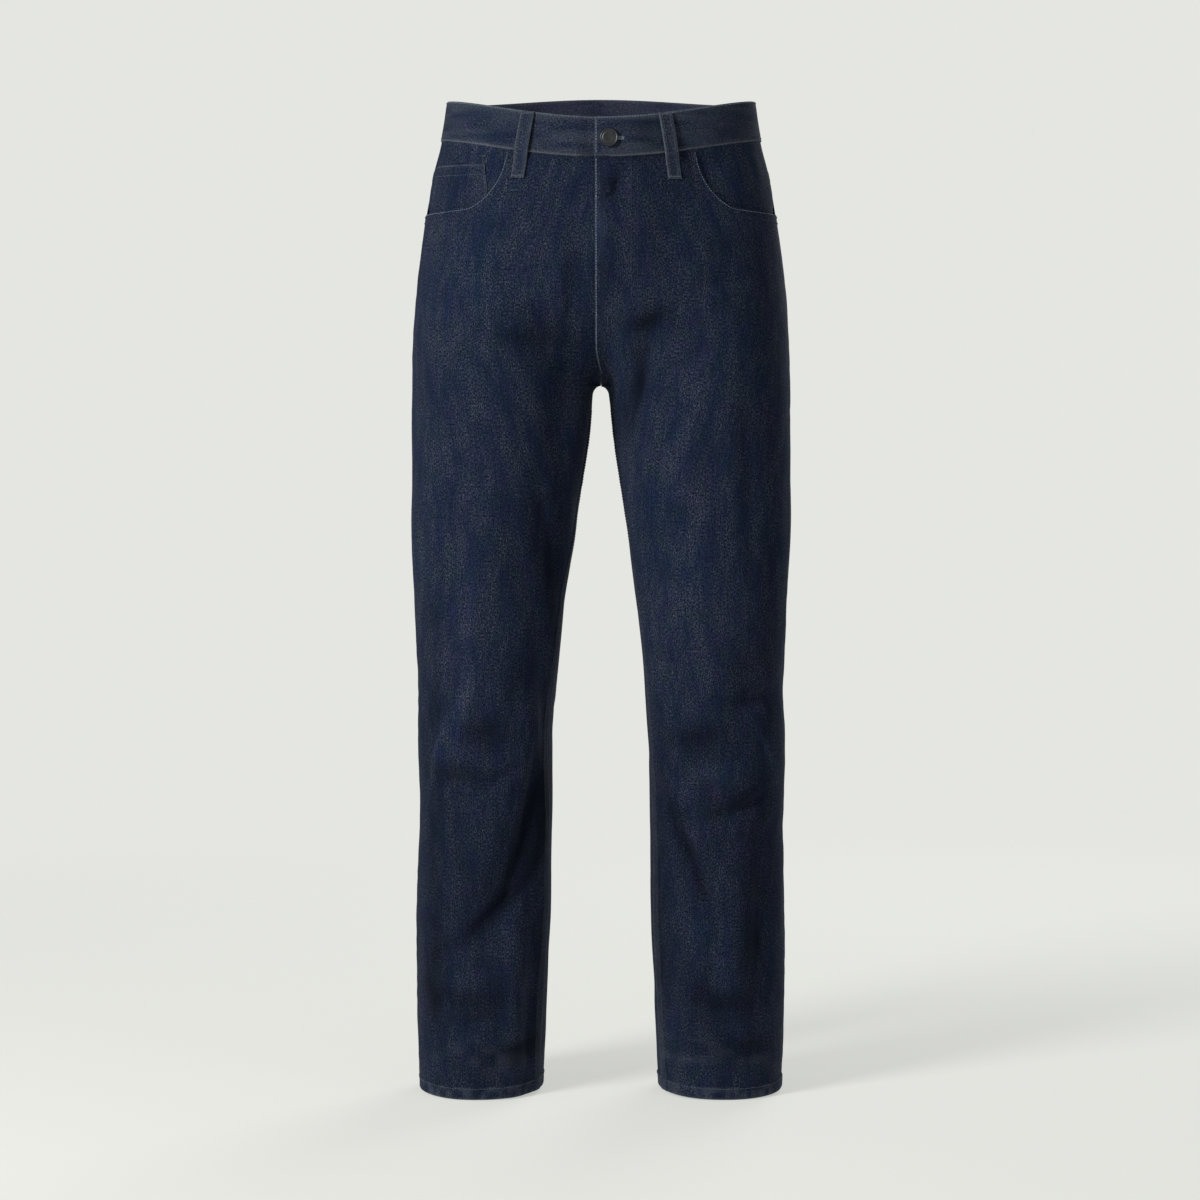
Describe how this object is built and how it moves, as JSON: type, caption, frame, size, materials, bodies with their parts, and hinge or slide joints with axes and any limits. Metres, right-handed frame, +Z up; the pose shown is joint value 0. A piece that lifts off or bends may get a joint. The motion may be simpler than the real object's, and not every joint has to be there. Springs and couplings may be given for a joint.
{
  "type": "straight leg jeans",
  "caption": "Straight leg denim jeans, filled out as if worn, with open waist and hems, a closed fly with a waist button, curved front pocket mouths, a yoke and belt loops.",
  "frame": {"origin": "middle of the waist, level with the top of the waistband at the sides", "axes": "+Z up along the legs to the waist, +Y to the wearer's back, +X to the wearer's left"},
  "size_m": [0.4122, 0.2512, 1.0891],
  "materials": {
    "denim": "dark indigo twill, matt with a faint nap",
    "zip_tape": "plain woven tape",
    "button_metal": "dark matt cap"
  },
  "bodies": {
    "root": {"back_left": "denim", "back_pocket_left": "denim", "back_pocket_right": "denim", "back_right": "denim", "coin_pocket": "denim", "fly_shield": "denim", "fly_zip": "zip_tape", "front_left": "denim", "front_right": "denim", "loop_back": "denim", "loop_front_left": "denim", "loop_front_right": "denim", "loop_side_left": "denim", "loop_side_right": "denim", "pocket_facing_left": "denim", "pocket_facing_right": "denim", "waist_button": "button_metal", "waistband": "denim", "yoke_left": "denim", "yoke_right": "denim"}
  },
  "joints": []
}
